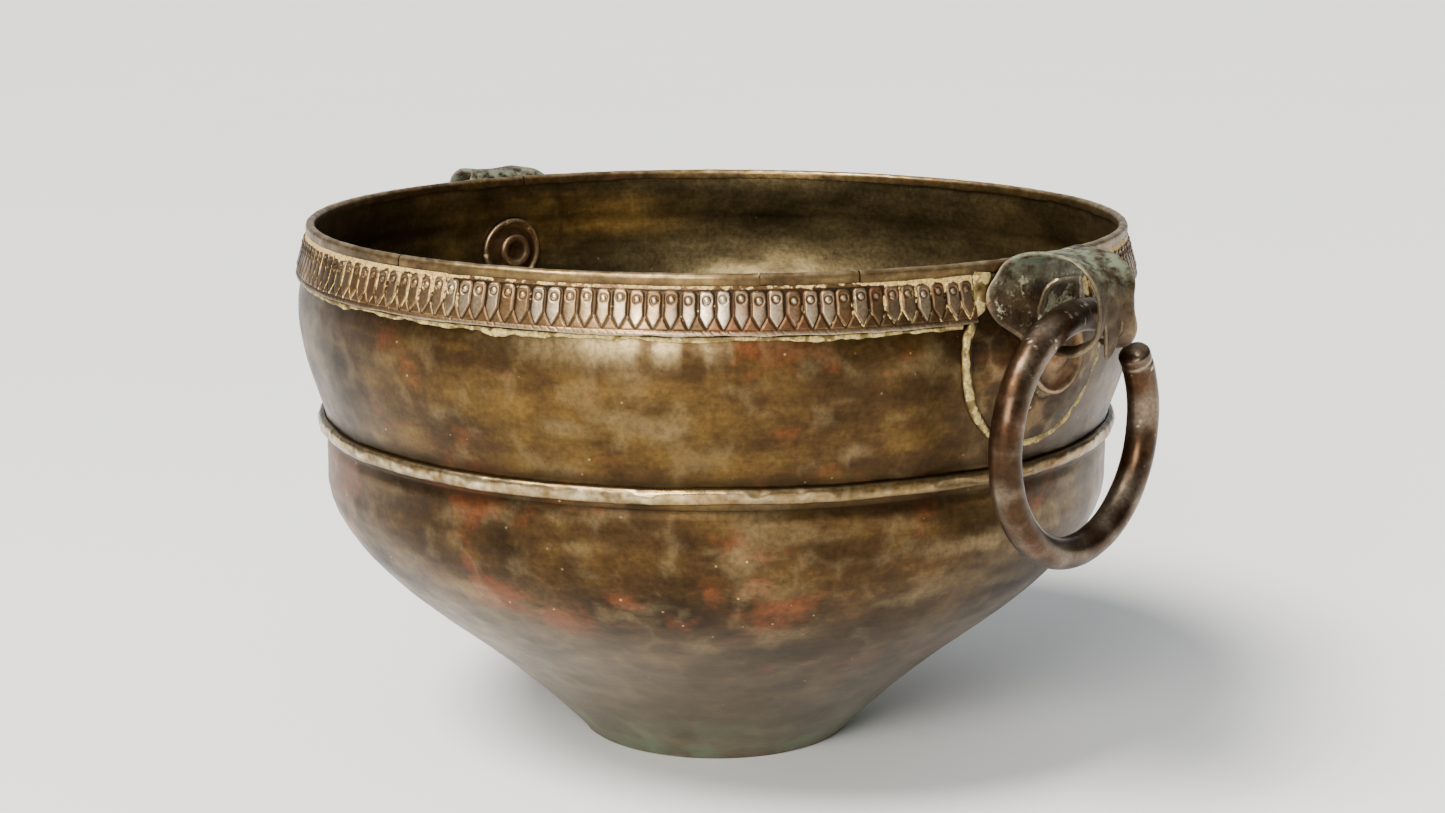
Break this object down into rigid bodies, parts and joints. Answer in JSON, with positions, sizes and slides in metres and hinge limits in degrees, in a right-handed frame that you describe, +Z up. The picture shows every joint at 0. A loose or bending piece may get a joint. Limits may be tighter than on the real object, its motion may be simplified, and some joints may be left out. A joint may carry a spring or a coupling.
{
  "type": "brass urli bowl",
  "caption": "Hammered brass bowl with a waist seam, a stamped frieze under a folded rim, and open ring handles hung from hooded straps riveted to the wall.",
  "frame": {"origin": "centre of the flat base, on the bowl's own axis", "axes": "+Z up along the bowl's axis, +X out through the right-hand lug"},
  "size_m": [0.4851, 0.4104, 0.2619],
  "materials": {
    "shell_brass": "hammered, dark brown-olive patina, worn golden in places",
    "bead_brass": "hammered, worn bright along the top",
    "rim_brass": "folded strip, worn and tarnished",
    "frieze_brass": "punched, pale filling in the hollows",
    "hard_solder": "dull, run by hand",
    "plate_brass": "hammered, dark patina",
    "strap_brass": "forged, verdigris in the hollows",
    "rivet_brass": "peened",
    "ring_bar": "forged bar, rubbed smooth, small bright nicks"
  },
  "bodies": {
    "bowl": {"lower_shell": "shell_brass", "upper_shell": "shell_brass", "waist_bead": "bead_brass", "rim_strip_1": "rim_brass", "rim_strip_2": "rim_brass", "rim_strip_3": "rim_brass", "rim_strip_4": "rim_brass", "rim_strip_5": "rim_brass", "frieze_front": "frieze_brass", "frieze_back": "frieze_brass", "frieze_solder_front": "hard_solder", "frieze_solder_back": "hard_solder", "lug_plate_right": "plate_brass", "lug_plate_left": "plate_brass", "lug_solder_right": "hard_solder", "lug_solder_left": "hard_solder", "hood_strap_right": "strap_brass", "hood_strap_left": "strap_brass", "bearing_tongue_right": "strap_brass", "bearing_tongue_left": "strap_brass", "rivet_right": "rivet_brass", "rivet_left": "rivet_brass", "rove_right": "rivet_brass", "rove_left": "rivet_brass"},
    "right_ring": {"ring_right": "ring_bar"},
    "left_ring": {"ring_left": "ring_bar"}
  },
  "joints": [
    {"name": "right_ring_swing", "type": "hinge", "parent": "bowl", "child": "right_ring", "pos_m": [0.225, 0, 0.235], "axis": [0.061, -0.9981, 0], "range_deg": [-11, 213]},
    {"name": "left_ring_swing", "type": "hinge", "parent": "bowl", "child": "left_ring", "pos_m": [-0.22223, 0.0352, 0.235], "axis": [0.0958, 0.9954, 0], "range_deg": [-11, 213]}
  ]
}
